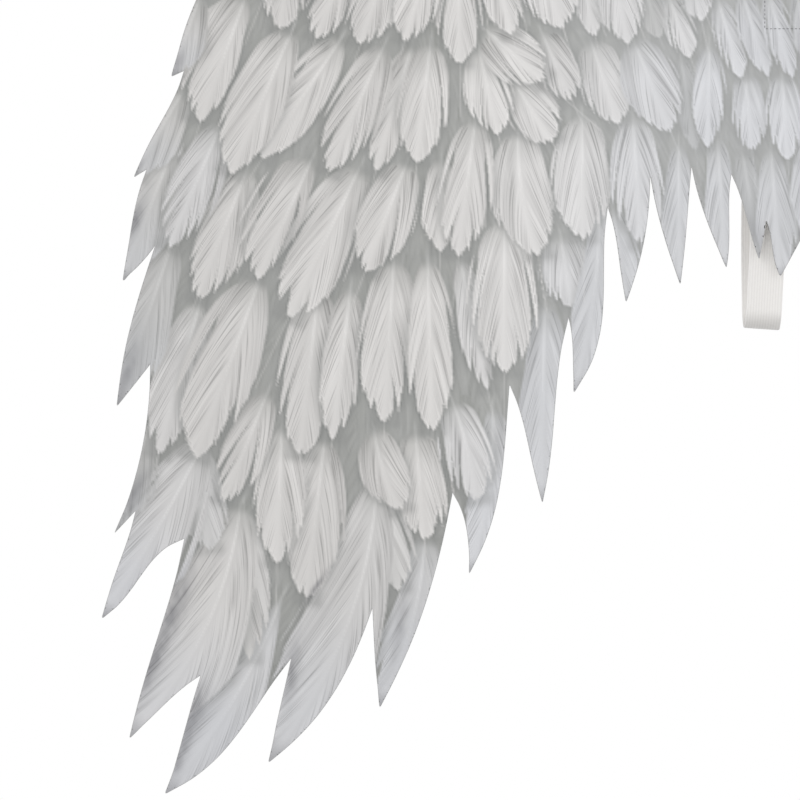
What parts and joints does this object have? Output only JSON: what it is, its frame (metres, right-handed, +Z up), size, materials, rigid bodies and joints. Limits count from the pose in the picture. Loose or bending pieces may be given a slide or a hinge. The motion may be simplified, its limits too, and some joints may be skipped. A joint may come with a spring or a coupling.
{
  "type": "costume angel wings",
  "caption": "Costume wings cut from a sheet of printed felt, with feather-tipped edges and elastic arm loops on the back.",
  "frame": {"origin": "on the back face of the felt, in the middle of the seam that holds the two straps, where the wings sit between the wearer's shoulder blades", "axes": "+X across the wings from the left one in the picture to the right one, +Y from the printed face to the wearer, +Z up"},
  "size_m": [0.9232, 0.0358, 0.6975],
  "materials": {
    "printed_felt": "matt non-woven felt, printed with pale grey and white feathers on a mid grey ground",
    "elastic": "warm white elastic with fine ribs along its length"
  },
  "bodies": {
    "root": {"wing_felt": "printed_felt", "shoulder_strap_left": "elastic", "shoulder_strap_right": "elastic"}
  },
  "joints": []
}
